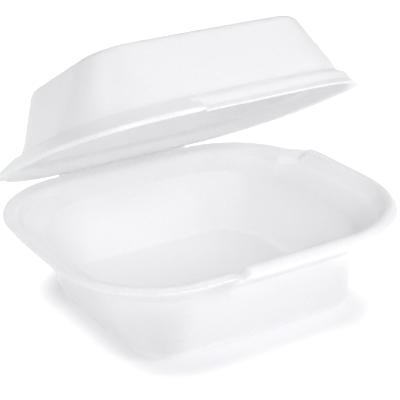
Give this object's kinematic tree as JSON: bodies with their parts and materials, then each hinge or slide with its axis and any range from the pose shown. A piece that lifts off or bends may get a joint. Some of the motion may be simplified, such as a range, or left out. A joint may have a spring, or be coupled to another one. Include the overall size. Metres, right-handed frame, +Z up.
{
  "type": "foam clamshell container",
  "caption": "White foam takeaway box: a shallow tray with leaning walls and rounded corners, and a matching lid that folds shut on a crease and interlocks along the rim.",
  "frame": {"origin": "middle of the tray's flat underside, on the surface that it stands on", "axes": "+Z up, X along the crease, the front of the box faces -Y"},
  "size_m": [0.1362, 0.1087, 0.1],
  "materials": {
    "foam": "fine-celled matt foam with a soft sheen"
  },
  "bodies": {
    "tray": {"tray": "foam"},
    "lid": {"lid": "foam"}
  },
  "joints": [
    {"name": "lid_hinge", "type": "hinge", "parent": "tray", "child": "lid", "pos_m": [0, 0.05655, 0.0322], "axis": [-1, 0, 0], "range_deg": [-29.8, 150.2]}
  ]
}
